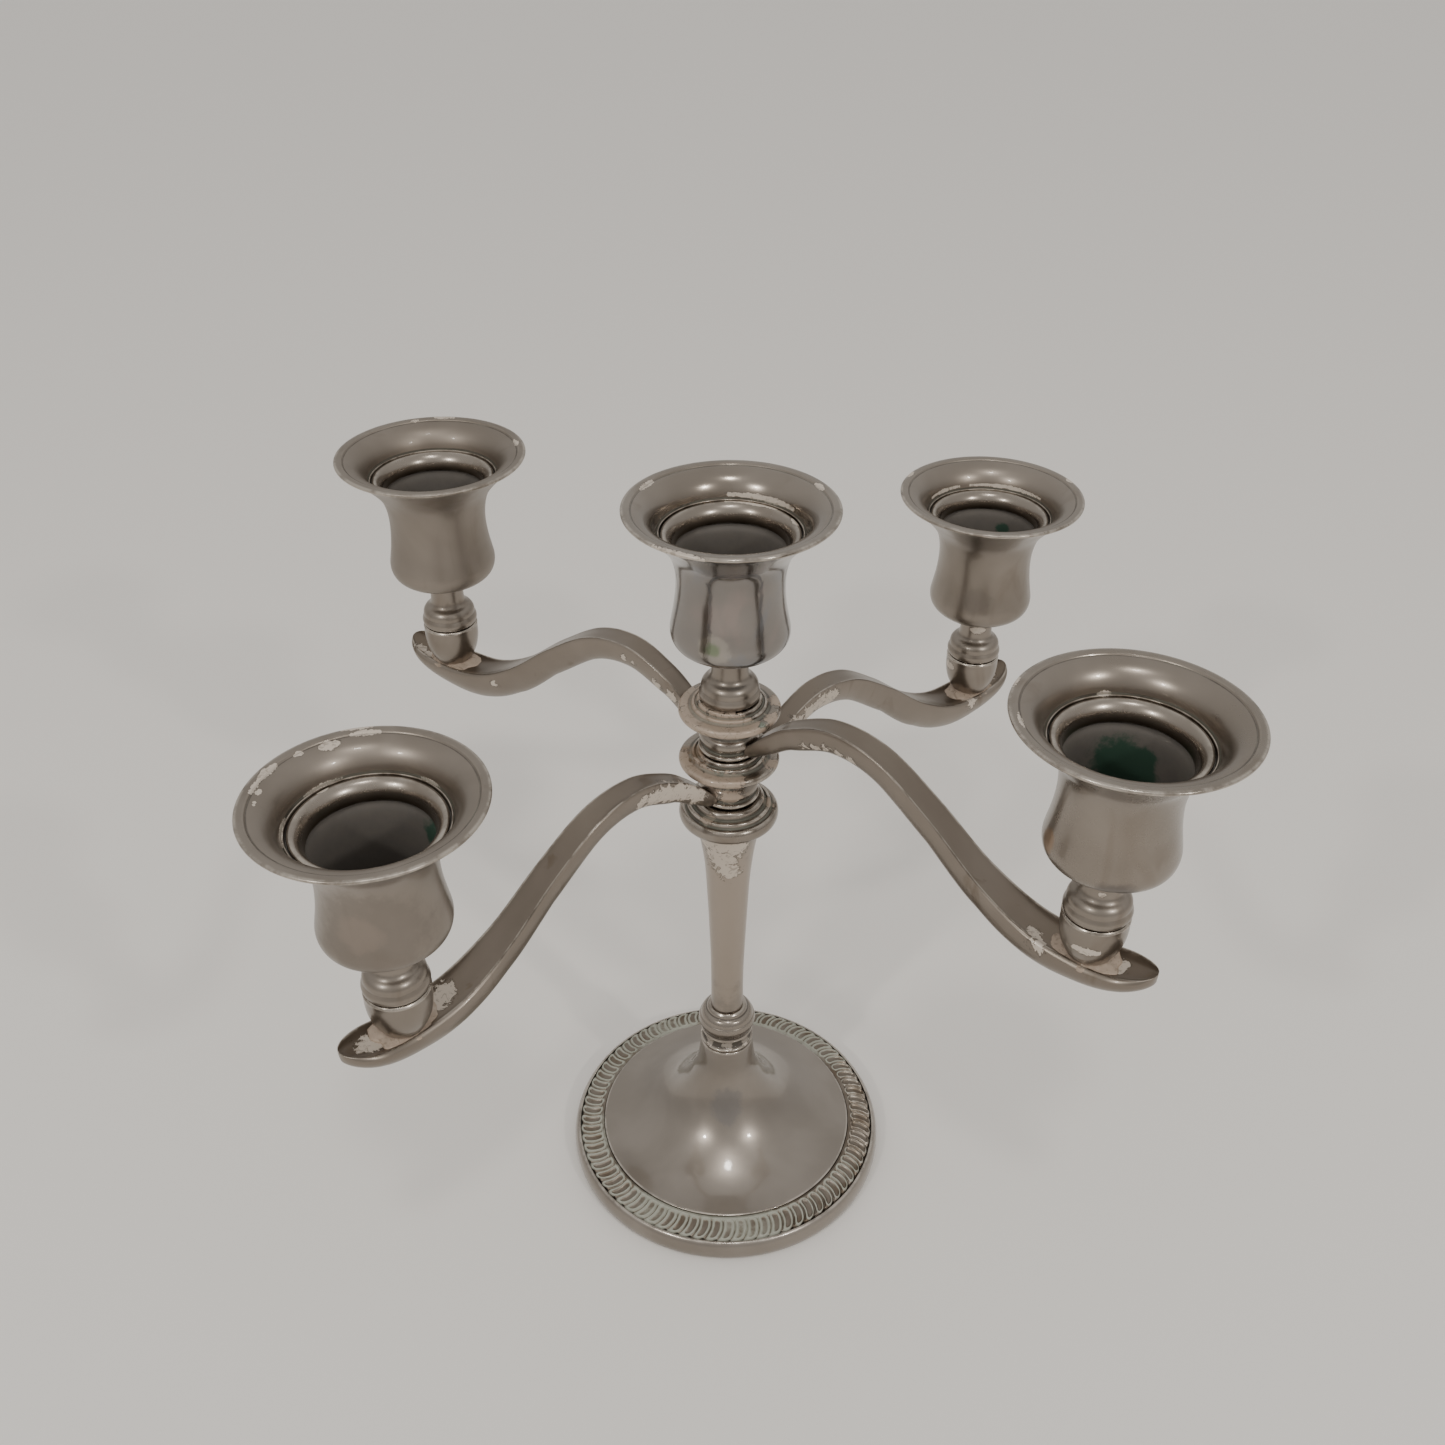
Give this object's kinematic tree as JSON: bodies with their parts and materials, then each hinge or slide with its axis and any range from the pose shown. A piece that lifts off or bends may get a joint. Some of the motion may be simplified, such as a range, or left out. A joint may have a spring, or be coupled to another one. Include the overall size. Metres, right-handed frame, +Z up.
{
  "type": "candelabrum",
  "caption": "Plated brass table candelabrum: round loop-bordered foot, tapered stem, swivelling S-armed branches and flared candle cups with lift-out collars.",
  "frame": {"origin": "on the column's axis, at the table surface the foot stands on", "axes": "+Z up the column; +X along the upper branch, towards its a light; the lower branch lies 80.6 degrees round towards +Y"},
  "size_m": [0.2436, 0.2404, 0.2076],
  "materials": {
    "plated_foot": "tarnished silver plate, satin",
    "plated_border": "tarnished silver plate with pale green corrosion in its loops",
    "plated_column": "tarnished silver plate, glossy on the knops, flaked round the discs",
    "plated_arms": "tarnished silver plate, satin, flaked along edges",
    "plated_cups": "tarnished silver plate, satin to glossy",
    "steel": "dull steel",
    "felt": "green baize",
    "pitch_filler": "cast pitch and plaster, matt"
  },
  "bodies": {
    "root": {"foot_felt": "felt", "foot_plate": "steel", "foot_weight": "pitch_filler", "foot_shell": "plated_foot", "foot_border": "plated_border", "tie_rod": "steel", "foot_nut": "steel", "foot_washer": "steel", "stem_knop": "plated_column", "stem_tube": "plated_column", "stem_cap": "plated_column"},
    "lower_branch": {"lower_hub": "plated_column", "lower_arm_a": "plated_arms", "lower_a_seat": "plated_arms", "lower_a_pillar": "plated_arms", "lower_a_screw": "steel", "lower_a_cup": "plated_cups", "lower_arm_b": "plated_arms", "lower_b_seat": "plated_arms", "lower_b_pillar": "plated_arms", "lower_b_screw": "steel", "lower_b_cup": "plated_cups"},
    "lower_a_collar": {"lower_a_collar": "plated_cups"},
    "lower_b_collar": {"lower_b_collar": "plated_cups"},
    "upper_branch": {"upper_hub": "plated_column", "upper_arm_a": "plated_arms", "upper_a_seat": "plated_arms", "upper_a_pillar": "plated_arms", "upper_a_screw": "steel", "upper_a_cup": "plated_cups", "upper_arm_b": "plated_arms", "upper_b_seat": "plated_arms", "upper_b_pillar": "plated_arms", "upper_b_screw": "steel", "upper_b_cup": "plated_cups"},
    "upper_a_collar": {"upper_a_collar": "plated_cups"},
    "upper_b_collar": {"upper_b_collar": "plated_cups"},
    "centre_light": {"centre_pillar": "plated_column", "centre_screw": "steel", "centre_cup": "plated_cups"},
    "centre_collar": {"centre_collar": "plated_cups"}
  },
  "joints": [
    {"name": "lower_branch_turn", "type": "hinge", "parent": "root", "child": "lower_branch", "pos_m": [0, 0, 0.1284], "axis": [0, 0, 1], "continuous": true},
    {"name": "upper_branch_turn", "type": "hinge", "parent": "lower_branch", "child": "upper_branch", "pos_m": [0, 0, 0.143], "axis": [0, 0, 1], "range_deg": [-75, 56]},
    {"name": "centre_light_lift", "type": "slide", "parent": "upper_branch", "child": "centre_light", "axis": [0, 0, 1], "range_m": [0, 0.0105]},
    {"name": "upper_a_collar_lift", "type": "slide", "parent": "upper_branch", "child": "upper_a_collar", "axis": [0, 0, 1], "range_m": [0, 0.008]},
    {"name": "upper_b_collar_lift", "type": "slide", "parent": "upper_branch", "child": "upper_b_collar", "axis": [0, 0, 1], "range_m": [0, 0.008]},
    {"name": "lower_a_collar_lift", "type": "slide", "parent": "lower_branch", "child": "lower_a_collar", "axis": [0, 0, 1], "range_m": [0, 0.008]},
    {"name": "lower_b_collar_lift", "type": "slide", "parent": "lower_branch", "child": "lower_b_collar", "axis": [0, 0, 1], "range_m": [0, 0.008]},
    {"name": "centre_collar_lift", "type": "slide", "parent": "centre_light", "child": "centre_collar", "axis": [0, 0, 1], "range_m": [0, 0.008]}
  ]
}
